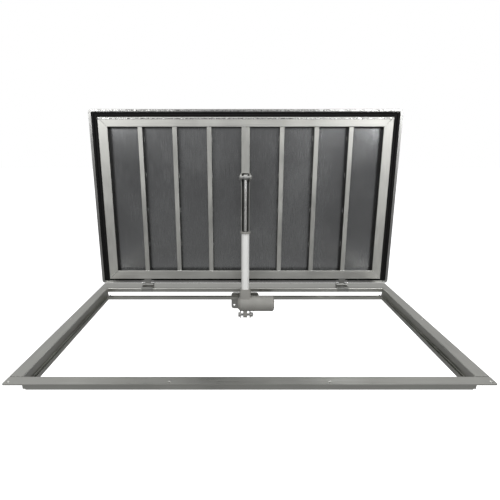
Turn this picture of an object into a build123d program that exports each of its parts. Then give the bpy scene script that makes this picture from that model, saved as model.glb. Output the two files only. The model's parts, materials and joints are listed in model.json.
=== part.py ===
from build123d import *
import os
from math import atan2, cos, degrees, hypot, radians, sin

# Powered deck hatch, drawn open.  Millimetres, Z up, X along the longest side.
# The origin is the centre of the corner screws, on the underside of the flange.

# ---- deck frame ----
FRAME_X = 1500.0
FRAME_Y = 925.0
FLANGE_T = 4.0
FLANGE_W = 43.0
REAR_FLANGE_W = 84.0
WALL_T = 5.0
WALL_DROP = 42.0
REAR_WALL_DROP = 20.0
SCREW_INSET = 13.0
SCREW_D = 6.4
SCREW_HEAD_D = 10.8
MID_SCREW_X = 245.0

# ---- drain gutter ----
GUTTER_W = 12.0
GUTTER_TOP = -34.0
GUTTER_H = 16.0
GUTTER_T = 2.0
REAR_BAR_FRONT = 807.0
REAR_BAR_W = 19.0
DRAIN_HOLE_D = 8.0

# ---- lid, drawn closed and then swung open ----
LID_X = 1480.0
LID_FRONT = 8.0
LID_BACK = 862.0
SKIN_T = 3.0
SKIN_UNDER = 14.0
RIM_W = 12.0
RIM_LIFT = 1.5
GASKET_LIFT = 0.4
TUBE_W = 45.0
TUBE_H = 30.0
TUBE_T = 3.0
TUBE_X = 694.0
TUBE_FRONT = 45.0
TUBE_BACK = 836.0
TUBE_GAP = 4.0
RIB_W = 22.0
RIB_T = 2.0
RIB_STEP = 162.5
RIB_FIRST = 172.0
SPINE_W = 40.0
SPINE_SPLIT = 303.0
OPEN_ANGLE = 91.0

# ---- hinges ----
HINGE_X = 505.0
HINGE_W = 57.0
HINGE_BACK = 873.0
HINGE_RISE = 11.0
BARREL_R = 9.0
PIN_R = 4.0
LEAF_T = 4.0
KNUCKLE_GAP = 0.5
RUNNING_FIT = 0.05
NOTCH_W = HINGE_W + 6.0

# ---- actuator ----
LOW_PIVOT_BACK = 760.0
LOW_PIVOT_RISE = -110.0
TOP_PIVOT_BACK = 322.0
TOP_PIVOT_RISE = -48.0
BOLT_R = 6.0
LUG_HALF = 10.0
LUG_R = 15.0
EYE_R = 15.0
TOP_BOLT_R = 5.0
GEARBOX_HALF = 37.0
GEARBOX_CHAMFER = 13.0
NECK_X = 58.0
NECK_Y = 52.0
NECK_TOP = 133.0
MOTOR_R = 37.5
MOTOR_RISE = 57.0
MOTOR_END = 128.0
MOTOR_CAP = 14.0
BODY_R = 19.0
BODY_T = 3.0
COLLAR_R = 24.5
COLLAR_L = 9.0
COLLAR_TOP = 418.0
ROD_R = 8.5
ROD_INSIDE = 60.0

# ---- brackets ----
PLATE_X = 140.0
PLATE_T = 6.0
PLATE_TOP = -18.0
PLATE_H = 87.0
PLATE_HOLE_X = 55.0
PLATE_HOLE_UP = 19.0
PLATE_HOLE_R = 5.0
PLATE_CORNER_R = 14.0
EAR_T = 5.0
LOW_EAR_IN = 22.0
LOW_EAR_R = 16.5
TOP_EAR_R = 15.0

# Places that follow from the sizes above.
HALF_X = FRAME_X / 2
OPEN_X = HALF_X - FLANGE_W
OPEN_BACK = FRAME_Y - REAR_FLANGE_W
TUBE_UNDER = SKIN_UNDER - TUBE_H
GUTTER_X = OPEN_X - GUTTER_W
WALL_UNDER = -WALL_DROP
TOP_EAR_IN = SPINE_W / 2


def y_of(back):
    """Y of a point that lies this far behind the frame's front edge."""
    return back - FRAME_Y / 2


def z_of(rise):
    """Z of a point at this height above the flange's top face."""
    return rise + FLANGE_T


def block(x0, x1, back0, back1, rise0, rise1):
    size = Box(x1 - x0, back1 - back0, rise1 - rise0)
    return Pos((x0 + x1) / 2, y_of((back0 + back1) / 2), z_of((rise0 + rise1) / 2)) * size


def patch(u0, u1, v0, v1):
    return Pos((u0 + u1) / 2, (v0 + v1) / 2) * Rectangle(u1 - u0, v1 - v0)


def soften(face, corners):
    """Round the corners of a flat profile: each is (u, v, radius)."""
    for u, v, radius in corners:
        nearest = face.vertices().sort_by_distance((u, v, 0))[0]
        face = fillet([nearest], radius=radius)
    return face


def run_along_x(profile, x0, x1):
    """Extrude a profile drawn in (back, rise) from x0 to x1."""
    plane = Plane(origin=(x0, y_of(0), z_of(0)), x_dir=(0, 1, 0), z_dir=(1, 0, 0))
    return extrude(plane * profile, amount=x1 - x0)


def run_along_y(profile, back0, back1):
    """Extrude a profile drawn in (x, rise) from back0 to back1."""
    plane = Plane(origin=(0, y_of(back1), z_of(0)), x_dir=(1, 0, 0), z_dir=(0, -1, 0))
    return extrude(plane * profile, amount=back1 - back0)


def drop_outline(outline, rise0, rise1):
    """Extrude a plan outline drawn in (x, back) from rise0 up to rise1."""
    plane = Plane(origin=(0, y_of(0), z_of(rise0)))
    return extrude(plane * outline, amount=rise1 - rise0)


def cylinder_x(radius, x0, x1, back, rise):
    bar = Rot(0, 90, 0) * Cylinder(radius, x1 - x0)
    return Pos((x0 + x1) / 2, y_of(back), z_of(rise)) * bar


def mirrored(part):
    return mirror(part, about=Plane.YZ)


def swung_open(part):
    axis = Axis((0, y_of(HINGE_BACK), z_of(HINGE_RISE)), (1, 0, 0))
    return part.rotate(axis, -OPEN_ANGLE)


def save(name, part):
    part.label = name
    export_step(part, os.path.join("parts", name + ".step"))


def save_pair(name, right):
    """Write a right-hand piece and its mirror image."""
    save(name + "_right", right)
    save(name + "_left", mirrored(right))


# ---------------------------------------------------------------- deck frame

def countersunk_holes(part, places):
    for x, back in places:
        shank = Cylinder(SCREW_D / 2, 4 * FLANGE_T)
        sink_h = (SCREW_HEAD_D - SCREW_D) / 2
        sink = Cone(SCREW_D / 2, SCREW_HEAD_D / 2, sink_h)
        part -= Pos(x, y_of(back), z_of(-FLANGE_T / 2)) * shank
        part -= Pos(x, y_of(back), z_of(-sink_h / 2)) * sink
    return part


def bent_angle(edge, inner, wall_in, drop):
    """Flange with a wall hanging from its inner edge, bent from one plate."""
    low, high = sorted((edge, inner))
    wall_low, wall_high = sorted((inner, wall_in))
    profile = patch(low, high, -FLANGE_T, 0) + patch(wall_low, wall_high, -drop, 0)
    return soften(profile, [(inner, 0, 4.0), (wall_in, -FLANGE_T, 2.0)])


def frame_front():
    angle = bent_angle(0, FLANGE_W, FLANGE_W - WALL_T, WALL_DROP)
    part = run_along_x(angle, -HALF_X, HALF_X)
    for side in (-1, 1):
        ends = sorted((side * (OPEN_X + WALL_T), side * (HALF_X + 1)))
        part -= block(ends[0], ends[1], FLANGE_W - WALL_T - 3, FLANGE_W + 1, WALL_UNDER - 1, -FLANGE_T)
    part = fillet(part.edges().filter_by(Axis.Z).group_by(Axis.Y)[0], radius=6.0)
    across = (-HALF_X + SCREW_INSET, -MID_SCREW_X, MID_SCREW_X, HALF_X - SCREW_INSET)
    return countersunk_holes(part, [(x, SCREW_INSET) for x in across])


def frame_rear():
    angle = bent_angle(FRAME_Y, OPEN_BACK, OPEN_BACK + WALL_T, REAR_WALL_DROP)
    part = run_along_x(angle, -HALF_X, HALF_X)
    for side in (-1, 1):
        ends = sorted((side * (OPEN_X + WALL_T), side * (HALF_X + 1)))
        part -= block(ends[0], ends[1], OPEN_BACK - 1, OPEN_BACK + WALL_T + 3, WALL_UNDER, -FLANGE_T)
    part = fillet(part.edges().filter_by(Axis.Z).group_by(Axis.Y)[-1], radius=6.0)
    across = (-HALF_X + SCREW_INSET, -MID_SCREW_X, MID_SCREW_X, HALF_X - SCREW_INSET)
    return countersunk_holes(part, [(x, FRAME_Y - SCREW_INSET) for x in across])


def frame_side():
    angle = bent_angle(HALF_X, OPEN_X, OPEN_X + WALL_T, WALL_DROP)
    part = run_along_y(angle, FLANGE_W, OPEN_BACK)
    return countersunk_holes(part, [(HALF_X - SCREW_INSET, FRAME_Y / 2)])


def channel(u0, u1, top, height, wall):
    """Open-topped U profile with bent corners."""
    floor = top - height
    profile = patch(u0, u1, floor, top) - patch(u0 + wall, u1 - wall, floor + wall, top + 1)
    bends = [(u0, floor, 2 * wall - 0.5), (u1, floor, 2 * wall - 0.5)]
    bends += [(u0 + wall, floor + wall, wall - 0.5), (u1 - wall, floor + wall, wall - 0.5)]
    return soften(profile, bends)


def gutter_front():
    profile = channel(FLANGE_W, FLANGE_W + GUTTER_W, GUTTER_TOP, GUTTER_H, GUTTER_T)
    part = run_along_x(profile, -OPEN_X, OPEN_X)
    floor = GUTTER_TOP - GUTTER_H + GUTTER_T
    lip = FLANGE_W + GUTTER_W - GUTTER_T
    for side in (-1, 1):
        ends = sorted((side * (GUTTER_X + GUTTER_T), side * (OPEN_X - GUTTER_T)))
        part -= block(ends[0], ends[1], lip - 2, lip + GUTTER_T + 1, floor, GUTTER_TOP + 1)
    return part


def gutter_side():
    profile = channel(GUTTER_X, OPEN_X, GUTTER_TOP, GUTTER_H, GUTTER_T)
    part = run_along_y(profile, FLANGE_W + GUTTER_W, OPEN_BACK)
    middle = Pos((GUTTER_X + OPEN_X) / 2, y_of(FRAME_Y / 2), z_of(GUTTER_TOP - GUTTER_H))
    return part - middle * Cylinder(DRAIN_HOLE_D / 2, 3 * GUTTER_T)


def gutter_rear():
    back = REAR_BAR_FRONT + REAR_BAR_W
    profile = channel(REAR_BAR_FRONT, back, GUTTER_TOP, GUTTER_H, GUTTER_T)
    return run_along_x(profile, -GUTTER_X, GUTTER_X)


# -------------------------------------------------------------------- hinges

def hinge_base():
    """Cranked lower leaf: one leg on the rear wall, one on the flange."""
    x0, x1 = HINGE_X - HINGE_W / 2, HINGE_X + HINGE_W / 2
    wall_face = OPEN_BACK
    tail = HINGE_BACK + BARREL_R + 3
    profile = patch(wall_face - LEAF_T, tail, 0, LEAF_T)
    profile += patch(wall_face - LEAF_T, wall_face, -16, LEAF_T)
    profile = soften(profile, [(wall_face - LEAF_T, LEAF_T, 3.0), (tail, LEAF_T, 1.0)])
    part = run_along_x(profile, x0, x1)
    part += cylinder_x(BARREL_R, x0, x1, HINGE_BACK, HINGE_RISE)
    half = HINGE_W / 4 + KNUCKLE_GAP
    part -= block(HINGE_X - half, HINGE_X + half, HINGE_BACK - BARREL_R - 2, tail + 1, -1, 40)
    return part - cylinder_x(PIN_R, x0 - 1, x1 + 1, HINGE_BACK, HINGE_RISE)


def hinge_pin():
    x0, x1 = HINGE_X - HINGE_W / 2, HINGE_X + HINGE_W / 2
    part = cylinder_x(PIN_R, x0, x1, HINGE_BACK, HINGE_RISE)
    for start in (x0 - 2.5, x1):
        head = cylinder_x(PIN_R + 2, start, start + 2.5, HINGE_BACK, HINGE_RISE)
        part += chamfer(head.edges(), length=0.8)
    return part


def hinge_leaf():
    """Upper leaf: strap from the lid's rear tube to the middle knuckle."""
    half = HINGE_W / 4
    strap_low, strap_high = 6.0, 10.0
    outline = Polyline(
        (HINGE_X - half - 8, TUBE_BACK), (HINGE_X + half + 8, TUBE_BACK),
        (HINGE_X + half, TUBE_BACK + 16), (HINGE_X + half, HINGE_BACK),
        (HINGE_X - half, HINGE_BACK), (HINGE_X - half, TUBE_BACK + 16), close=True)
    part = drop_outline(make_face(outline), strap_low, strap_high)
    part += cylinder_x(BARREL_R, HINGE_X - half, HINGE_X + half, HINGE_BACK, HINGE_RISE)
    bore = cylinder_x(PIN_R + RUNNING_FIT, HINGE_X - half - 1, HINGE_X + half + 1, HINGE_BACK, HINGE_RISE)
    return part - bore


# ----------------------------------------------------------------------- lid

def lid_skin():
    outline = Pos(0, (LID_FRONT + LID_BACK) / 2) * RectangleRounded(LID_X, LID_BACK - LID_FRONT, 14)
    part = drop_outline(outline, SKIN_UNDER, SKIN_UNDER + SKIN_T)
    return fillet(part.edges().group_by(Axis.Z)[-1], radius=1.5)


def band(width_in, width, lift):
    """Profiles of a straight band that runs round the lid: across and along."""
    return patch(width_in, width_in + width, lift, SKIN_UNDER)


def cut_hinge_notches(part):
    for side in (-1, 1):
        low, high = side * HINGE_X - NOTCH_W / 2, side * HINGE_X + NOTCH_W / 2
        part -= block(low, high, TUBE_BACK, LID_BACK + 1, -5, 10.6)
    return part


def rim_front():
    return run_along_x(soften(band(LID_FRONT, RIM_W, RIM_LIFT), [(LID_FRONT, RIM_LIFT, 2)]),
                       -LID_X / 2 + 14, LID_X / 2 - 14)


def rim_rear():
    return cut_hinge_notches(run_along_x(band(LID_BACK - RIM_W, RIM_W, RIM_LIFT),
                                         -LID_X / 2 + 14, LID_X / 2 - 14))


def rim_side():
    """Side strip that turns the lid's two corners."""
    whole = RectangleRounded(LID_X, LID_BACK - LID_FRONT, 14)
    inner = Rectangle(LID_X - 2 * RIM_W, LID_BACK - LID_FRONT - 2 * RIM_W)
    ring = Pos(0, (LID_FRONT + LID_BACK) / 2) * (whole - inner)
    edge = LID_X / 2 - 14
    return drop_outline(ring & patch(edge, LID_X, LID_FRONT - 1, LID_BACK + 1), RIM_LIFT, SKIN_UNDER)


def gasket_front():
    start = LID_FRONT + RIM_W
    profile = band(start, TUBE_FRONT - TUBE_GAP - start, GASKET_LIFT)
    profile = soften(profile, [(start, GASKET_LIFT, 4), (TUBE_FRONT - TUBE_GAP, GASKET_LIFT, 4)])
    half = LID_X / 2 - RIM_W
    return run_along_x(profile, -half, half)


def gasket_rear():
    start = TUBE_BACK + TUBE_GAP
    end = LID_BACK - RIM_W
    profile = soften(band(start, end - start, GASKET_LIFT), [(start, GASKET_LIFT, 3), (end, GASKET_LIFT, 3)])
    half = LID_X / 2 - RIM_W
    return cut_hinge_notches(run_along_x(profile, -half, half))


def gasket_side():
    low = TUBE_X + TUBE_GAP
    high = LID_X / 2 - RIM_W
    profile = soften(band(low, high - low, GASKET_LIFT), [(low, GASKET_LIFT, 4), (high, GASKET_LIFT, 4)])
    return run_along_y(profile, TUBE_FRONT - TUBE_GAP, TUBE_BACK + TUBE_GAP)


def hollow_section(low, high, wall):
    """Rectangular tube section under the skin, between two positions."""
    middle = (SKIN_UNDER + TUBE_UNDER) / 2
    outer = RectangleRounded(high - low, TUBE_H, wall)
    inner = Rectangle(high - low - 2 * wall, TUBE_H - 2 * wall)
    return Pos((low + high) / 2, middle) * (outer - inner)


def mitred(part, corners):
    return part & drop_outline(make_face(Polyline(*corners, close=True)), TUBE_UNDER - 1, SKIN_UNDER + 1)


def tube_front():
    inner = TUBE_FRONT + TUBE_W
    part = run_along_x(hollow_section(TUBE_FRONT, inner, TUBE_T), -TUBE_X, TUBE_X)
    return mitred(part, [(-TUBE_X, TUBE_FRONT), (TUBE_X, TUBE_FRONT),
                         (TUBE_X - TUBE_W, inner), (TUBE_W - TUBE_X, inner)])


def tube_rear():
    inner = TUBE_BACK - TUBE_W
    part = run_along_x(hollow_section(inner, TUBE_BACK, TUBE_T), -TUBE_X, TUBE_X)
    return mitred(part, [(TUBE_W - TUBE_X, inner), (TUBE_X - TUBE_W, inner),
                         (TUBE_X, TUBE_BACK), (-TUBE_X, TUBE_BACK)])


def tube_side():
    part = run_along_y(hollow_section(TUBE_X - TUBE_W, TUBE_X, TUBE_T), TUBE_FRONT, TUBE_BACK)
    return mitred(part, [(TUBE_X, TUBE_FRONT), (TUBE_X, TUBE_BACK),
                         (TUBE_X - TUBE_W, TUBE_BACK - TUBE_W), (TUBE_X - TUBE_W, TUBE_FRONT + TUBE_W)])


def rib(number):
    centre = RIB_FIRST + (number - 1) * RIB_STEP
    section = hollow_section(centre - RIB_W / 2, centre + RIB_W / 2, RIB_T)
    return run_along_y(section, TUBE_FRONT + TUBE_W, TUBE_BACK - TUBE_W)


def spine_tube():
    section = hollow_section(-SPINE_W / 2, SPINE_W / 2, TUBE_T)
    return run_along_y(section, TUBE_FRONT + TUBE_W, SPINE_SPLIT)


def spine_channel():
    """Channel that is open towards the actuator."""
    half = SPINE_W / 2
    profile = patch(-half, half, TUBE_UNDER, SKIN_UNDER)
    profile -= patch(-half + TUBE_T, half - TUBE_T, TUBE_UNDER - 1, SKIN_UNDER - TUBE_T)
    profile = soften(profile, [(-half, SKIN_UNDER, TUBE_T), (half, SKIN_UNDER, TUBE_T)])
    return run_along_y(profile, SPINE_SPLIT, TUBE_BACK - TUBE_W)


def top_ear():
    """Ear on the outside of the channel, round at the pivot."""
    foot = patch(TOP_PIVOT_BACK - 19, TOP_PIVOT_BACK + 17, TUBE_UNDER - 2, SKIN_UNDER - 6)
    nose = Pos(TOP_PIVOT_BACK, TOP_PIVOT_RISE) * Circle(TOP_EAR_R)
    outline = make_hull((foot + nose).edges())
    outline -= Pos(TOP_PIVOT_BACK, TOP_PIVOT_RISE) * Circle(TOP_BOLT_R)
    return run_along_x(outline, TOP_EAR_IN, TOP_EAR_IN + EAR_T)


def hexagon_x(across, x0, x1, back, rise):
    plane = Plane(origin=(x0, y_of(back), z_of(rise)), x_dir=(0, 1, 0), z_dir=(1, 0, 0))
    part = extrude(plane * RegularPolygon(across / 2, 6, major_radius=False), amount=x1 - x0)
    return chamfer(part.edges().group_by(Axis.X)[-1], length=0.8)


def top_bolt_end():
    """Bolt head outside the ear, with the stub that fills the ear's hole."""
    outer = TOP_EAR_IN + EAR_T
    part = cylinder_x(TOP_BOLT_R, TOP_EAR_IN, outer, TOP_PIVOT_BACK, TOP_PIVOT_RISE)
    return part + hexagon_x(16, outer, outer + 6, TOP_PIVOT_BACK, TOP_PIVOT_RISE)


# ------------------------------------------------------- lower actuator mount

def actuator_plate():
    back = REAR_BAR_FRONT + REAR_BAR_W
    middle = PLATE_TOP - PLATE_H / 2
    outline = Pos(0, middle) * RectangleRounded(PLATE_X, PLATE_H, PLATE_CORNER_R)
    for x in (-PLATE_HOLE_X, PLATE_HOLE_X):
        outline -= Pos(x, PLATE_TOP - PLATE_H + PLATE_HOLE_UP) * Circle(PLATE_HOLE_R)
    return run_along_y(outline, back, back + PLATE_T)


def low_ear():
    """Ear from the backing plate, under the gutter bar, to the lower pivot."""
    back = REAR_BAR_FRONT + REAR_BAR_W
    nose = Pos(LOW_PIVOT_BACK, LOW_PIVOT_RISE) * Circle(LOW_EAR_R)
    foot_top = LOW_PIVOT_RISE + LOW_EAR_R
    foot = patch(back - 6, back, PLATE_TOP - PLATE_H, foot_top)
    outline = make_hull((foot + nose).edges())
    gusset_top = GUTTER_TOP - GUTTER_H - 3
    gusset = Polyline((back - 18, foot_top - 1), (back, foot_top - 1), (back, gusset_top),
                      (back - 5, gusset_top), close=True)
    outline += make_face(gusset)
    outline -= Pos(LOW_PIVOT_BACK, LOW_PIVOT_RISE) * Circle(BOLT_R)
    return run_along_x(outline, LOW_EAR_IN, LOW_EAR_IN + EAR_T)


def low_bolt():
    reach = LOW_EAR_IN + EAR_T
    part = cylinder_x(BOLT_R, -reach, reach + 14, LOW_PIVOT_BACK, LOW_PIVOT_RISE)
    return part + mirrored(hexagon_x(19, reach, reach + 8, LOW_PIVOT_BACK, LOW_PIVOT_RISE))


def low_nut():
    reach = LOW_EAR_IN + EAR_T
    part = hexagon_x(19, reach, reach + 11, LOW_PIVOT_BACK, LOW_PIVOT_RISE)
    return part - cylinder_x(BOLT_R, reach - 1, reach + 12, LOW_PIVOT_BACK, LOW_PIVOT_RISE)


# ------------------------------------------------------------------ actuator
# Drawn upright about its lower pivot, then leaned onto the line of its pivots.

def open_top_pivot():
    back = TOP_PIVOT_BACK - HINGE_BACK
    rise = TOP_PIVOT_RISE - HINGE_RISE
    turn = radians(OPEN_ANGLE)
    return (HINGE_BACK + back * cos(turn) + rise * sin(turn),
            HINGE_RISE - back * sin(turn) + rise * cos(turn))


TOP_OPEN_BACK, TOP_OPEN_RISE = open_top_pivot()
REACH_BACK = TOP_OPEN_BACK - LOW_PIVOT_BACK
REACH_RISE = TOP_OPEN_RISE - LOW_PIVOT_RISE
REACH = hypot(REACH_BACK, REACH_RISE)
LEAN = degrees(atan2(REACH_BACK, REACH_RISE))


def leaned(part):
    return Pos(0, y_of(LOW_PIVOT_BACK), z_of(LOW_PIVOT_RISE)) * Rot(-LEAN, 0, 0) * part


def upright(radius, low, high):
    return Pos(0, 0, (low + high) / 2) * Cylinder(radius, high - low)


def lying(radius, x0, x1, rise):
    return Pos((x0 + x1) / 2, 0, rise) * Rot(0, 90, 0) * Cylinder(radius, x1 - x0)


def gearbox_housing():
    """Worm housing in line with the motor, with a neck for the tube and a lug for the pivot."""
    drum = lying(MOTOR_R, -GEARBOX_HALF, GEARBOX_HALF, MOTOR_RISE)
    drum = chamfer(drum.edges().group_by(Axis.X)[0], length=GEARBOX_CHAMFER)
    foot = Pos(0, 0, MOTOR_RISE) * RectangleRounded(NECK_X, NECK_Y, 14)
    body = drum + extrude(foot, amount=NECK_TOP - MOTOR_RISE, taper=2)
    lug_h = MOTOR_RISE - MOTOR_R / 2
    body += lying(LUG_R, -LUG_HALF, LUG_HALF, 0)
    body += Pos(0, 0, lug_h / 2) * Box(2 * LUG_HALF, 2 * LUG_R, lug_h)
    body -= lying(BOLT_R + RUNNING_FIT, -LUG_HALF - 1, LUG_HALF + 1, 0)
    return body - upright(ROD_R + 4, MOTOR_RISE + MOTOR_R + 2, NECK_TOP + 1)


def motor_housing():
    shell = lying(MOTOR_R, GEARBOX_HALF, MOTOR_END, MOTOR_RISE)
    bore = lying(MOTOR_R - 3, GEARBOX_HALF + 6, MOTOR_END + 1, MOTOR_RISE)
    return shell - bore


def motor_cap():
    end = MOTOR_END + MOTOR_CAP
    cap = lying(MOTOR_R, MOTOR_END, end, MOTOR_RISE)
    cap = fillet(cap.edges().group_by(Axis.X)[-1], radius=9)
    return cap


def outer_tube():
    tube = upright(BODY_R, NECK_TOP, COLLAR_TOP - COLLAR_L)
    return tube - upright(BODY_R - BODY_T, NECK_TOP - 1, COLLAR_TOP)


def tube_collar():
    collar = upright(COLLAR_R, COLLAR_TOP - COLLAR_L, COLLAR_TOP)
    collar = fillet(collar.edges().group_by(Axis.Z)[-1], radius=1.5)
    return collar - upright(ROD_R + RUNNING_FIT, COLLAR_TOP - COLLAR_L - 1, COLLAR_TOP + 1)


def piston_rod():
    return upright(ROD_R, COLLAR_TOP - ROD_INSIDE, REACH - EYE_R + 2)


def rod_eye():
    eye = lying(EYE_R, -LUG_HALF, LUG_HALF, REACH)
    eye = fillet(eye.edges().filter_by(GeomType.CIRCLE), radius=2)
    eye -= upright(ROD_R, COLLAR_TOP, REACH - EYE_R + 2)
    return eye - lying(TOP_BOLT_R, -LUG_HALF - 1, LUG_HALF + 1, REACH)


def eye_pin():
    """The bolt's shank with its two spacer sleeves, which ride with the eye."""
    half = TOP_EAR_IN - 1
    pin = lying(TOP_BOLT_R, -half, half, REACH)
    for x0, x1 in ((-half, -LUG_HALF), (LUG_HALF, half)):
        pin += lying(TOP_BOLT_R + 3, x0, x1, REACH)
    return pin


os.makedirs("parts", exist_ok=True)

save("frame_front", frame_front())
save("frame_rear", frame_rear())
save_pair("frame", frame_side())
save("gutter_front", gutter_front())
save("gutter_rear", gutter_rear())
save_pair("gutter", gutter_side())
save_pair("hinge_base", hinge_base())
save_pair("hinge_pin", hinge_pin())
save("actuator_plate", actuator_plate())
save_pair("low_ear", low_ear())
save("low_bolt", low_bolt())
save("low_nut", low_nut())

save("lid_skin", swung_open(lid_skin()))
save("rim_front", swung_open(rim_front()))
save("rim_rear", swung_open(rim_rear()))
save_pair("rim", swung_open(rim_side()))
save("gasket_front", swung_open(gasket_front()))
save("gasket_rear", swung_open(gasket_rear()))
save_pair("gasket", swung_open(gasket_side()))
save("tube_front", swung_open(tube_front()))
save("tube_rear", swung_open(tube_rear()))
save_pair("tube", swung_open(tube_side()))
for number in (1, 2, 3):
    save_pair("rib_" + str(number), swung_open(rib(number)))
save("spine_tube", swung_open(spine_tube()))
save("spine_channel", swung_open(spine_channel()))
save_pair("hinge_leaf", swung_open(hinge_leaf()))
save_pair("top_ear", swung_open(top_ear()))
save_pair("top_bolt", swung_open(top_bolt_end()))

save("gearbox_housing", leaned(gearbox_housing()))
save("motor_housing", leaned(motor_housing()))
save("motor_cap", leaned(motor_cap()))
save("outer_tube", leaned(outer_tube()))
save("tube_collar", leaned(tube_collar()))
save("piston_rod", leaned(piston_rod()))
save("rod_eye", leaned(rod_eye()))
save("eye_pin", leaned(eye_pin()))
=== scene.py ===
import bpy
import bmesh
import json
import random
from math import cos, pi, radians, sin
from mathutils import Matrix, Vector


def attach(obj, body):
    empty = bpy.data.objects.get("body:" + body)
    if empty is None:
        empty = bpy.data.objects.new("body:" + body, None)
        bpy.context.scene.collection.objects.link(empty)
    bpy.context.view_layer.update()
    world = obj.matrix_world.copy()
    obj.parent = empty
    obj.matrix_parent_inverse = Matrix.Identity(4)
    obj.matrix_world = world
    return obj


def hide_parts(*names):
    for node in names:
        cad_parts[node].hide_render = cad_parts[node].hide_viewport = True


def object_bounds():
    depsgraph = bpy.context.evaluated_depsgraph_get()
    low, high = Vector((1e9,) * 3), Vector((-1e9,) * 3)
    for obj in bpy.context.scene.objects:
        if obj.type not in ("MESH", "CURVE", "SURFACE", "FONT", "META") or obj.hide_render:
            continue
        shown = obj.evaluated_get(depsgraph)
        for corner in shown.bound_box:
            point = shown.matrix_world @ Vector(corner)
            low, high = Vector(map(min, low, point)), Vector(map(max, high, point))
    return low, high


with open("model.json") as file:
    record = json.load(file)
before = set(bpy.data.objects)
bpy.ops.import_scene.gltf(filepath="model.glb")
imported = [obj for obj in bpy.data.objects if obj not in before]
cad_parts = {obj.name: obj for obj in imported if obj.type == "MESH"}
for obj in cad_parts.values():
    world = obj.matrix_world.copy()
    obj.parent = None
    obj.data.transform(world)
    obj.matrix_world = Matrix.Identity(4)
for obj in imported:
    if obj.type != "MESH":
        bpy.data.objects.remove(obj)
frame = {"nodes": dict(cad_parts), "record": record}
cad_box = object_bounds()

# The lid's details are placed as if it were shut, and the actuator's as if it stood upright on its pivot.
# These two matrices carry them to where the frame holds those bodies at rest.
JOINTS = {joint["name"]: joint for joint in frame["record"]["behaviour"]["joints"]}
MM = 0.001


def lid_at_rest():
    hinge = JOINTS["lid_hinge"]
    pivot = Vector(hinge["pos_m"])
    turn = Matrix.Rotation(radians(hinge["range_deg"][0]), 4, "X")
    return Matrix.Translation(pivot) @ turn @ Matrix.Translation(-pivot)


def actuator_at_rest():
    pivot = Vector(JOINTS["actuator_tilt"]["pos_m"])
    lean = Vector(JOINTS["rod_slide"]["axis"])
    turn = Vector((0, 0, 1)).rotation_difference(lean).to_matrix().to_4x4()
    return Matrix.Translation(pivot) @ turn


LID = lid_at_rest()
ACTUATOR = actuator_at_rest()
PLAIN = Matrix.Identity(4)


def own_box(node, place):
    """A CAD node's lowest and highest corner, measured before place is applied to it."""
    back = place.inverted()
    points = [back @ vertex.co for vertex in frame["nodes"][node].data.vertices]
    low = Vector([min(point[i] for point in points) for i in range(3)])
    high = Vector([max(point[i] for point in points) for i in range(3)])
    return low, high


# ---------------------------------------------------------------- materials

def start_material(name):
    material = bpy.data.materials.new(name)
    material.use_nodes = True
    tree = material.node_tree
    shader = tree.nodes["Principled BSDF"]
    return material, tree, shader


def noise(tree, scale, detail, stretch=(1, 1, 1)):
    """Noise in the object's own metres, squeezed by stretch along each axis."""
    place = tree.nodes.new("ShaderNodeTexCoord")
    mapping = tree.nodes.new("ShaderNodeMapping")
    texture = tree.nodes.new("ShaderNodeTexNoise")
    mapping.inputs["Scale"].default_value = stretch
    texture.inputs["Scale"].default_value = scale
    texture.inputs["Detail"].default_value = detail
    tree.links.new(place.outputs["Object"], mapping.inputs["Vector"])
    tree.links.new(mapping.outputs["Vector"], texture.inputs["Vector"])
    return texture.outputs["Fac"]


def spread(tree, value, low, high, start=0.3, end=0.7):
    span = tree.nodes.new("ShaderNodeMapRange")
    span.inputs["From Min"].default_value = start
    span.inputs["From Max"].default_value = end
    span.inputs["To Min"].default_value = low
    span.inputs["To Max"].default_value = high
    tree.links.new(value, span.inputs["Value"])
    return span.outputs["Result"]


def times(tree, first, second):
    product = tree.nodes.new("ShaderNodeMath")
    product.operation = "MULTIPLY"
    tree.links.new(first, product.inputs[0])
    tree.links.new(second, product.inputs[1])
    return product.outputs["Value"]


def tint(tree, colour, shade):
    """The colour made lighter and darker by a shade value."""
    mix = tree.nodes.new("ShaderNodeVectorMath")
    mix.operation = "SCALE"
    mix.inputs[0].default_value = colour
    tree.links.new(shade, mix.inputs["Scale"])
    return mix.outputs["Vector"]


def bump(tree, shader, height, depth):
    node = tree.nodes.new("ShaderNodeBump")
    node.inputs["Strength"].default_value = 0.6
    node.inputs["Distance"].default_value = depth
    tree.links.new(height, node.inputs["Height"])
    tree.links.new(node.outputs["Normal"], shader.inputs["Normal"])


GRAIN = {"X": (6, 900, 900), "Y": (900, 6, 900), "Z": (900, 900, 6), "none": (300, 300, 300)}


def painted_side_shade(tree, axis, shade):
    """Painted shade: 1 on faces that look along the other axes, and shade on faces that look along this one, standing
    in for the shadow beside ribs and tubes.
    """
    place = tree.nodes.new("ShaderNodeTexCoord")
    split = tree.nodes.new("ShaderNodeSeparateXYZ")
    size = tree.nodes.new("ShaderNodeMath")
    size.operation = "ABSOLUTE"
    tree.links.new(place.outputs["Normal"], split.inputs["Vector"])
    tree.links.new(split.outputs[axis], size.inputs[0])
    return spread(tree, size.outputs["Value"], 1.0, shade, 0.6, 0.9)


def painted_channel_shade(tree, half, shade):
    """Painted shade: shade between x = -half and half, inside a channel where shade falls, and 1 outside."""
    place = tree.nodes.new("ShaderNodeTexCoord")
    split = tree.nodes.new("ShaderNodeSeparateXYZ")
    size = tree.nodes.new("ShaderNodeMath")
    size.operation = "ABSOLUTE"
    tree.links.new(place.outputs["Object"], split.inputs["Vector"])
    tree.links.new(split.outputs["X"], size.inputs[0])
    return spread(tree, size.outputs["Value"], shade, 1.0, half, half + 0.0006)


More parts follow.
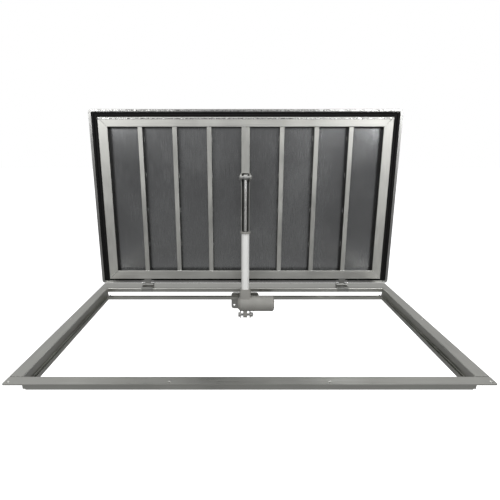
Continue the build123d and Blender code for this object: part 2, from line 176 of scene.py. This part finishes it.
def brushed(name, colour, roughness, along, contrast=0.10, depth=0.00003, blotch=5.0, painted_shade_axis=None, trough=None):
    """Brushed metal with its grain along one axis and faint handling marks.

    Its shade-axis argument names the axis that its sides look along; those sides get painted shade, darkened by face
    direction rather than by the light."""
    material, tree, shader = start_material(name)
    grain = noise(tree, 1.0, 3.0, GRAIN[along])
    marks = noise(tree, blotch, 5.0)
    grain_shade = spread(tree, grain, 1 - contrast, 1 + contrast)
    mark_shade = spread(tree, marks, 1 - contrast, 1 + contrast * 0.6)
    shade = times(tree, grain_shade, mark_shade)
    # Painted shade: faces looking along the named axis are darkened to 12 %, standing in for the shadow beside each rib
    # and tube.
    if painted_shade_axis:
        shade = times(tree, shade, painted_side_shade(tree, painted_shade_axis, 0.12))
    # Painted shade: the inside of a channel, within the trough half-width of x = 0, is darkened to 10 %.
    if trough:
        shade = times(tree, shade, painted_channel_shade(tree, trough, 0.10))
    tree.links.new(tint(tree, colour, shade), shader.inputs["Base Color"])
    rough = times(tree, spread(tree, grain, roughness * 0.85, roughness * 1.15), spread(tree, marks, 0.85, 1.2))
    tree.links.new(rough, shader.inputs["Roughness"])
    shader.inputs["Metallic"].default_value = 1.0
    bump(tree, shader, grain, depth)
    return material


def paint(name, colour, roughness, speckle=0.04, coat=0.0):
    """Enamel with a fine orange-peel skin and slight dirt."""
    material, tree, shader = start_material(name)
    peel = noise(tree, 700.0, 2.0)
    dirt = noise(tree, 18.0, 6.0)
    tree.links.new(tint(tree, colour, spread(tree, dirt, 1 - 2 * speckle, 1 + speckle)), shader.inputs["Base Color"])
    tree.links.new(spread(tree, dirt, roughness * 1.15, roughness * 0.9), shader.inputs["Roughness"])
    shader.inputs["Coat Weight"].default_value = coat
    shader.inputs["Coat Roughness"].default_value = 0.12
    bump(tree, shader, peel, 0.00006)
    return material


def rubber(name):
    material, tree, shader = start_material(name)
    pores = noise(tree, 1500.0, 2.0)
    bloom = noise(tree, 25.0, 5.0)
    tree.links.new(tint(tree, (0.0035, 0.0035, 0.0036), spread(tree, bloom, 0.7, 1.5)), shader.inputs["Base Color"])
    tree.links.new(spread(tree, bloom, 0.55, 0.75), shader.inputs["Roughness"])
    shader.inputs["Specular IOR Level"].default_value = 0.22
    bump(tree, shader, pores, 0.00008)
    return material


FRAME_GREY = (0.52, 0.52, 0.49)
TUBE_GREY = (0.58, 0.58, 0.55)
PANEL_GREY = (0.33, 0.335, 0.34)
STEEL = (0.84, 0.84, 0.82)

frame_x = brushed("frame_metal_x", FRAME_GREY, 0.34, "X")
frame_y = brushed("frame_metal_y", FRAME_GREY, 0.34, "Y")
# tube_x and tube_z carry painted shade on the faces that look along their named axis.
tube_x = brushed("tube_metal_x", TUBE_GREY, 0.44, "X", painted_shade_axis="Z")
tube_z = brushed("tube_metal_z", TUBE_GREY, 0.44, "Z", painted_shade_axis="X")
# spine_metal carries painted shade inside its channel, within 16.8 mm of x = 0.
spine_metal = brushed("spine_metal", TUBE_GREY, 0.44, "Z", trough=0.0168)
rim_x = brushed("rim_metal_x", (0.40, 0.40, 0.39), 0.30, "X")
rim_z = brushed("rim_metal_z", (0.40, 0.40, 0.39), 0.30, "Z")
panel = brushed("lid_panel", PANEL_GREY, 0.24, "Z", contrast=0.07, depth=0.000008, blotch=3.0)
bracket_steel = brushed("bracket_steel", (0.46, 0.46, 0.44), 0.36, "Z")
hinge_steel = brushed("hinge_steel", (0.36, 0.36, 0.345), 0.40, "X")
bolt_steel = brushed("bolt_steel", (0.42, 0.42, 0.41), 0.34, "none", contrast=0.06)
weld_metal = brushed("weld_metal", (0.54, 0.54, 0.53), 0.28, "none", contrast=0.22, depth=0.0002, blotch=160.0)
chrome = brushed("rod_chrome", (0.66, 0.66, 0.64), 0.30, "Z", contrast=0.03)
gearbox_paint = paint("gearbox_paint", (0.29, 0.285, 0.265), 0.42)
motor_paint = paint("motor_paint", (0.29, 0.285, 0.265), 0.38)
tube_white = paint("tube_white", (0.84, 0.84, 0.82), 0.34, speckle=0.02, coat=0.3)
black_rubber = rubber("gasket_rubber")
black_plastic = paint("gland_plastic", (0.016, 0.016, 0.017), 0.42, speckle=0.1)

NODE_MATERIALS = [
    (frame_x, ("frame_front", "frame_rear", "gutter_front", "gutter_rear")),
    (frame_y, ("frame_left", "frame_right", "gutter_left", "gutter_right")),
    (tube_x, ("tube_front", "tube_rear")),
    (spine_metal, ("spine_channel",)),
    (tube_z, ("tube_left", "tube_right", "spine_tube", "rib_1_left", "rib_1_right",
              "rib_2_left", "rib_2_right", "rib_3_left", "rib_3_right")),
    (rim_x, ("rim_front", "rim_rear")),
    (rim_z, ("rim_left", "rim_right")),
    (panel, ("lid_skin",)),
    (bracket_steel, ("actuator_plate", "low_ear_left", "low_ear_right", "top_ear_left", "top_ear_right")),
    (hinge_steel, ("hinge_base_left", "hinge_base_right", "hinge_leaf_left", "hinge_leaf_right",
                   "hinge_pin_left", "hinge_pin_right")),
    (bolt_steel, ("low_bolt", "low_nut", "top_bolt_left", "top_bolt_right", "eye_pin", "rod_eye")),
    (chrome, ("piston_rod",)),
    (gearbox_paint, ("gearbox_housing", "tube_collar")),
    (motor_paint, ("motor_housing", "motor_cap")),
    (tube_white, ("outer_tube",)),
    (black_rubber, ("gasket_front", "gasket_rear", "gasket_left", "gasket_right")),
]


def dress_nodes():
    for material, nodes in NODE_MATERIALS:
        for node in nodes:
            piece = frame["nodes"][node]
            if not piece.material_slots:
                piece.data.materials.append(material)
            for place in piece.material_slots:
                place.material = material


# ------------------------------------------------------------- piece making

def piece_from(name, mesh, material, body, place=PLAIN, smooth=35.0):
    """Finish a bmesh as a named piece that rides on a body."""
    bmesh.ops.transform(mesh, matrix=place, verts=mesh.verts)
    bmesh.ops.recalc_face_normals(mesh, faces=mesh.faces)
    data = bpy.data.meshes.new(name)
    mesh.to_mesh(data)
    mesh.free()
    data.shade_smooth()
    data.set_sharp_from_angle(angle=radians(smooth))
    piece = bpy.data.objects.new(name, data)
    bpy.context.collection.objects.link(piece)
    data.materials.append(material)
    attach(piece, body)
    return piece


def join_rings(mesh, rings, closed):
    """Skin a list of rings of vertices with quads, with end caps if it isn't closed."""
    made = [[mesh.verts.new(point) for point in ring] for ring in rings]
    count = len(made[0])
    last = len(made) if closed else len(made) - 1
    for index in range(last):
        here, after = made[index], made[(index + 1) % len(made)]
        for side in range(count):
            following = (side + 1) % count
            mesh.faces.new((here[side], here[following], after[following], after[side]))
    if not closed:
        mesh.faces.new(made[0])
        mesh.faces.new(list(reversed(made[-1])))


def turned(mesh, centre, axis, outline, sides=40):
    """Add a solid of revolution: outline is a list of (distance along the axis, radius)."""
    direction = Vector(axis).normalized()
    across = direction.orthogonal().normalized()
    up = direction.cross(across)
    rings = []
    for along, radius in outline:
        middle = Vector(centre) + direction * along
        turn = 2 * pi / sides
        rings.append([middle + (across * cos(k * turn) + up * sin(k * turn)) * radius for k in range(sides)])
    join_rings(mesh, rings, closed=False)


def weld_bead(mesh, start, end, radius, chance):
    """A run of overlapping weld pools from start to end."""
    start, end = Vector(start), Vector(end)
    run = end - start
    pools = max(4, int(run.length / (radius * 0.9)))
    direction = run.normalized()
    across = direction.orthogonal().normalized()
    up = direction.cross(across)
    rings = []
    steps_in_pool = 3
    total = pools * steps_in_pool
    for step in range(total + 1):
        swell = 0.72 + 0.28 * abs(sin(pi * step / steps_in_pool + 0.4)) + chance.uniform(-0.10, 0.10)
        if step in (0, total):
            swell = 0.25
        drift = (across * chance.uniform(-1, 1) + up * chance.uniform(-1, 1)) * radius * 0.12
        middle = start + run * (step / total) + drift
        rings.append([middle + (across * cos(k * pi / 4) + up * sin(k * pi / 4)) * radius * swell
                      for k in range(8)])
    join_rings(mesh, rings, closed=False)


def cap_screw(mesh, centre, axis, radius, height):
    """Socket-head screw with a chamfered rim and a sunk socket."""
    socket = radius * 0.5
    turned(mesh, centre, axis, [
        (0, radius), (height * 0.8, radius), (height, radius * 0.88), (height, socket), (height * 0.45, socket * 0.96)],
        sides=24)


# --------------------------------------------------------------- lid pieces

TUBE_LOW, TUBE_HIGH = own_box("tube_front", LID)
REAR_LOW, REAR_HIGH = own_box("tube_rear", LID)
SIDE_LOW, SIDE_HIGH = own_box("tube_right", LID)
SKIN_LOW, SKIN_HIGH = own_box("lid_skin", LID)
SPINE_LOW, SPINE_HIGH = own_box("spine_tube", LID)
UNDER_SKIN = SKIN_LOW.z
RIB_NODES = [f"rib_{number}_{side}" for number in (1, 2, 3) for side in ("left", "right")]
TUBE_INNER_X = SIDE_LOW.x


def frame_welds():
    """Beads where the lid's tubes meet each other and the skin."""
    chance = random.Random(11)
    mesh = bmesh.new()
    face = TUBE_LOW.z
    outer_x, front, rear = TUBE_HIGH.x, TUBE_LOW.y, REAR_HIGH.y
    inner_front, inner_rear = TUBE_HIGH.y, REAR_LOW.y
    bead = 1.1 * MM
    for side in (-1, 1):
        weld_bead(mesh, (side * outer_x, front, face), (side * TUBE_INNER_X, inner_front, face), bead, chance)
        weld_bead(mesh, (side * outer_x, rear, face), (side * TUBE_INNER_X, inner_rear, face), bead, chance)
    for node in RIB_NODES + ["spine_tube"]:
        low, high = own_box(node, LID)
        weld_bead(mesh, (low.x, inner_front, face), (high.x, inner_front, face), bead, chance)
    for node in RIB_NODES + ["spine_channel"]:
        low, high = own_box(node, LID)
        weld_bead(mesh, (low.x, inner_rear, face), (high.x, inner_rear, face), bead, chance)
    return piece_from("frame_welds", mesh, weld_metal, "lid", LID)


def rough_strip(mesh, start, end, across, lift, chance):
    """A thin ground-down weld: a strip of small random facets that stands a little proud."""
    start, end, across, lift = Vector(start), Vector(end), Vector(across), Vector(lift)
    columns = int((end - start).length / (3.2 * MM))
    rows = 4
    grid = []
    for column in range(columns + 1):
        line = []
        for row in range(rows + 1):
            edge = row in (0, rows) or column in (0, columns)
            height = 0.0 if edge else chance.uniform(0.25, 1.0)
            along = 0.0 if edge else chance.uniform(-0.3, 0.3) / columns
            point = start + (end - start) * (column / columns + along) + across * (row / rows) + lift * height
            line.append(mesh.verts.new(point))
        grid.append(line)
    for column in range(columns):
        for row in range(rows):
            mesh.faces.new((grid[column][row], grid[column + 1][row], grid[column + 1][row + 1],
                            grid[column][row + 1]))


def edge_beads():
    """Ground-down welds along the front tube's outer edge and along the lid's rim."""
    chance = random.Random(23)
    mesh = bmesh.new()
    skin = 0.05 * MM
    lift = (0, 0, -1.1 * MM)
    corner = 3 * MM
    rough_strip(mesh, (-TUBE_HIGH.x, TUBE_LOW.y + corner, TUBE_LOW.z + skin),
                (TUBE_HIGH.x, TUBE_LOW.y + corner, TUBE_LOW.z + skin), (0, 8 * MM, 0), lift, chance)
    rim_low, rim_high = own_box("rim_front", LID)
    rough_strip(mesh, (rim_low.x, rim_low.y + 2.4 * MM, rim_low.z + skin),
                (rim_high.x, rim_low.y + 2.4 * MM, rim_low.z + skin), (0, 9 * MM, 0), (0, 0, -0.8 * MM), chance)
    return piece_from("edge_beads", mesh, weld_metal, "lid", LID, smooth=5)


def skin_stitches():
    """Short stitch welds that hold each rib to the skin."""
    chance = random.Random(31)
    mesh = bmesh.new()
    step = 0.172
    length = 0.022
    for node in RIB_NODES + ["spine_tube", "spine_channel"]:
        low, high = own_box(node, LID)
        for edge in (low.x, high.x):
            place = low.y + 0.04
            while place + length < high.y:
                weld_bead(mesh, (edge, place, UNDER_SKIN), (edge, place + length, UNDER_SKIN), 1.0 * MM, chance)
                place += step
    return piece_from("skin_stitches", mesh, weld_metal, "lid", LID)


SEAL_PROFILE = [(0.00, 0.0), (0.00, 0.55), (0.06, 0.80), (0.16, 0.97), (0.28, 1.0), (0.38, 0.90), (0.44, 0.72),
                (0.50, 0.66), (0.56, 0.72), (0.62, 0.90), (0.72, 1.0), (0.84, 0.97), (0.94, 0.80), (1.00, 0.55),
                (1.00, 0.0)]


def seal():
    """Twin-bulb rubber seal round the lid, in one loop, with a low stretch over each hinge."""
    front_low, front_high = own_box("gasket_front", LID)
    rear_low, rear_high = own_box("gasket_rear", LID)
    side_low, side_high = own_box("gasket_right", LID)
    outer_x, inner_x = side_high.x, side_low.x
    hinge_low, hinge_high = own_box("hinge_base_right", PLAIN)
    notch_in, notch_out = hinge_low.x - 3 * MM, hinge_high.x + 3 * MM
    top = front_high.z
    drop = top - front_low.z
    notch_drop = top - (UNDER_SKIN - 3.2 * MM)

    def ring(corner_x, outer_y, inner_y, limit, bend_x):
        points = []
        for across, depth in SEAL_PROFILE:
            x = corner_x * (outer_x + (inner_x - outer_x) * across) if bend_x else corner_x
            y = outer_y + (inner_y - outer_y) * across
            points.append(Vector((x, y, top - min(depth * drop, limit))))
        return points

    mesh = bmesh.new()
    rings = [ring(-1, front_low.y, front_high.y, drop, True), ring(1, front_low.y, front_high.y, drop, True),
             ring(1, rear_high.y, rear_low.y, drop, True)]
    for x, limit in ((notch_out, drop), (notch_out, notch_drop), (notch_in, notch_drop), (notch_in, drop),
                     (-notch_in, drop), (-notch_in, notch_drop), (-notch_out, notch_drop), (-notch_out, drop)):
        rings.append(ring(x, rear_high.y, rear_low.y, limit, False))
    rings.append(ring(-1, rear_high.y, rear_low.y, drop, True))
    join_rings(mesh, rings, closed=True)
    piece = piece_from("lid_seal", mesh, black_rubber, "lid", LID, smooth=50)
    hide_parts("gasket_front", "gasket_rear", "gasket_left", "gasket_right")
    return piece


# ---------------------------------------------------------- actuator pieces

def motor_details():
    low, high = own_box("motor_housing", ACTUATOR)
    cap_low, cap_high = own_box("motor_cap", ACTUATOR)
    radius = (high.z - low.z) / 2
    middle = (0, (low.y + high.y) / 2, (low.z + high.z) / 2)
    band = bmesh.new()
    for start, width, lift in ((low.x, 6 * MM, 0.9 * MM), (cap_low.x - 2 * MM, 3.4 * MM, 0.7 * MM)):
        turned(band, (start, middle[1], middle[2]), (1, 0, 0),
               [(0, radius - 1 * MM), (0, radius + lift), (width, radius + lift), (width + 0.6 * MM, radius - 1 * MM)],
               sides=72)
    piece_from("motor_bands", band, motor_paint, "actuator", ACTUATOR)

    screws = bmesh.new()
    for turn in (45, 135, 225, 315):
        y = middle[1] + 22 * MM * cos(radians(turn))
        z = middle[2] + 22 * MM * sin(radians(turn))
        cap_screw(screws, (cap_high.x - 0.3 * MM, y, z), (1, 0, 0), 3.4 * MM, 2.6 * MM)
    piece_from("motor_screws", screws, bolt_steel, "actuator", ACTUATOR)

    gland = bmesh.new()
    seat = (cap_low.x - 26 * MM, high.y - 1.5 * MM, middle[2])
    turned(gland, seat, (0, 1, 0),
           [(0, 9 * MM), (3 * MM, 9 * MM), (3.6 * MM, 8 * MM), (4 * MM, 10 * MM), (10 * MM, 10 * MM),
            (13 * MM, 7.4 * MM), (16 * MM, 6 * MM), (16 * MM, 3.4 * MM), (10 * MM, 3.2 * MM)], sides=12)
    piece_from("motor_cable_gland", gland, black_plastic, "actuator", ACTUATOR)


def rod_details():
    low, high = own_box("tube_collar", ACTUATOR)
    wiper = bmesh.new()
    turned(wiper, (0, 0, high.z), (0, 0, 1),
           [(0, 14 * MM), (1.0 * MM, 13.6 * MM), (2.0 * MM, 9.6 * MM), (2.0 * MM, 8.56 * MM)], sides=48)
    piece_from("rod_wiper", wiper, black_rubber, "actuator", ACTUATOR)


def bracket_welds():
    """Fillet welds at the feet of the lower and upper ears."""
    chance = random.Random(47)
    low_mesh = bmesh.new()
    for side in ("left", "right"):
        low, high = own_box("low_ear_" + side, PLAIN)
        for x in (low.x, high.x):
            weld_bead(low_mesh, (x, high.y, low.z + 26 * MM), (x, high.y, high.z - 3 * MM), 1.7 * MM, chance)
    piece_from("low_ear_welds", low_mesh, weld_metal, "frame")
    top_mesh = bmesh.new()
    for side, sign in (("left", -1), ("right", 1)):
        low, high = own_box("top_ear_" + side, LID)
        x = sign * SPINE_HIGH.x
        weld_bead(top_mesh, (x + sign * 5 * MM, low.y + 2 * MM, high.z), (x + sign * 5 * MM, high.y - 2 * MM, high.z),
                  1.6 * MM, chance)
    piece_from("top_ear_welds", top_mesh, weld_metal, "lid", LID)


def gutter_welds():
    """Beads at the frame's corners and where the rear bar meets the side gutters."""
    chance = random.Random(53)
    mesh = bmesh.new()
    bar_low, bar_high = own_box("gutter_rear", PLAIN)
    for x in (bar_low.x, bar_high.x):
        weld_bead(mesh, (x, bar_low.y, bar_low.z + 3 * MM), (x, bar_low.y, bar_high.z), 1.5 * MM, chance)
    front_low, front_high = own_box("frame_front", PLAIN)
    rear_low, rear_high = own_box("frame_rear", PLAIN)
    side_low, side_high = own_box("frame_right", PLAIN)
    seam = 0.5 * MM
    sink = 0.35 * MM
    for x_in, x_out in ((side_low.x + 5 * MM, front_high.x - 2 * MM), (2 * MM - front_high.x, -side_low.x - 5 * MM)):
        for y in (front_high.y, rear_low.y):
            weld_bead(mesh, (x_in, y, front_high.z - sink), (x_out, y, front_high.z - sink), seam, chance)
    piece_from("frame_welds_corner", mesh, weld_metal, "frame")


# ------------------------------------------------------- floor, light, camera

def floor():
    data = bpy.data.meshes.new("floor")
    half = 30.0
    level = cad_box[0][2] - 0.45
    data.from_pydata([(-half, -half, level), (half, -half, level), (half, half, level), (-half, half, level)], [],
                     [(0, 1, 2, 3)])
    piece = bpy.data.objects.new("floor", data)
    bpy.context.collection.objects.link(piece)
    material, tree, shader = start_material("pale_floor")
    path = tree.nodes.new("ShaderNodeLightPath")
    seen = spread(tree, path.outputs["Is Camera Ray"], 0.30, 1.0, 0.0, 1.0)
    tree.links.new(tint(tree, (0.93, 0.93, 0.93), seen), shader.inputs["Base Color"])
    shader.inputs["Roughness"].default_value = 0.9
    shader.inputs["Emission Color"].default_value = (1, 1, 1, 1)
    glow = spread(tree, path.outputs["Is Camera Ray"], 0.0, 0.75, 0.0, 1.0)
    tree.links.new(glow, shader.inputs["Emission Strength"])
    data.materials.append(material)


def soft_light(name, place, aim, width, height, power):
    data = bpy.data.lights.new(name, "AREA")
    data.shape = "RECTANGLE"
    data.size = width
    data.size_y = height
    data.energy = power
    lamp = bpy.data.objects.new(name, data)
    bpy.context.collection.objects.link(lamp)
    lamp.location = place
    lamp.rotation_euler = (Vector(aim) - Vector(place)).to_track_quat("-Z", "Y").to_euler()


def studio():
    soft_light("left_box", (-2.3, -2.7, 2.0), (0, 0.3, 0.6), 1.3, 1.0, 42)
    soft_light("right_box", (2.2, -2.7, 2.0), (0, 0.3, 0.6), 1.6, 1.2, 54)
    soft_light("top_box", (0.0, -0.3, 3.2), (0, 0.1, 0), 3.2, 2.0, 22)


def surroundings():
    """White behind the object, and a dim room for what the metal reflects."""
    world = bpy.data.worlds.new("studio")
    bpy.context.scene.world = world
    world.use_nodes = True
    tree = world.node_tree
    tree.nodes.clear()
    output = tree.nodes.new("ShaderNodeOutputWorld")
    seen = tree.nodes.new("ShaderNodeBackground")
    room = tree.nodes.new("ShaderNodeBackground")
    mix = tree.nodes.new("ShaderNodeMixShader")
    path = tree.nodes.new("ShaderNodeLightPath")
    place = tree.nodes.new("ShaderNodeTexCoord")
    split = tree.nodes.new("ShaderNodeSeparateXYZ")
    seen.inputs["Color"].default_value = (1, 1, 1, 1)
    seen.inputs["Strength"].default_value = 1.0
    tree.links.new(place.outputs["Generated"], split.inputs["Vector"])
    height = spread(tree, split.outputs["Z"], 0.06, 0.74, -0.05, 0.32)
    tree.links.new(height, room.inputs["Strength"])
    tree.links.new(path.outputs["Is Camera Ray"], mix.inputs["Fac"])
    tree.links.new(room.outputs["Background"], mix.inputs[1])
    tree.links.new(seen.outputs["Background"], mix.inputs[2])
    tree.links.new(mix.outputs["Shader"], output.inputs["Surface"])


def camera():
    data = bpy.data.cameras.new("camera")
    data.lens = 27.4
    data.sensor_width = 36.0
    data.shift_x = 0.0236
    eye = bpy.data.objects.new("camera", data)
    bpy.context.collection.objects.link(eye)
    front_low, front_high = own_box("frame_front", PLAIN)
    eye.location = (-0.035, front_low.y - 1.012, front_high.z + 0.676)
    eye.rotation_euler = (radians(90 - 14.3), 0, 0)
    bpy.context.scene.camera = eye


dress_nodes()
frame_welds()
edge_beads()
skin_stitches()
seal()
motor_details()
rod_details()
bracket_welds()
gutter_welds()
floor()
studio()
surroundings()
camera()
bpy.context.scene.view_settings.view_transform = "Standard"
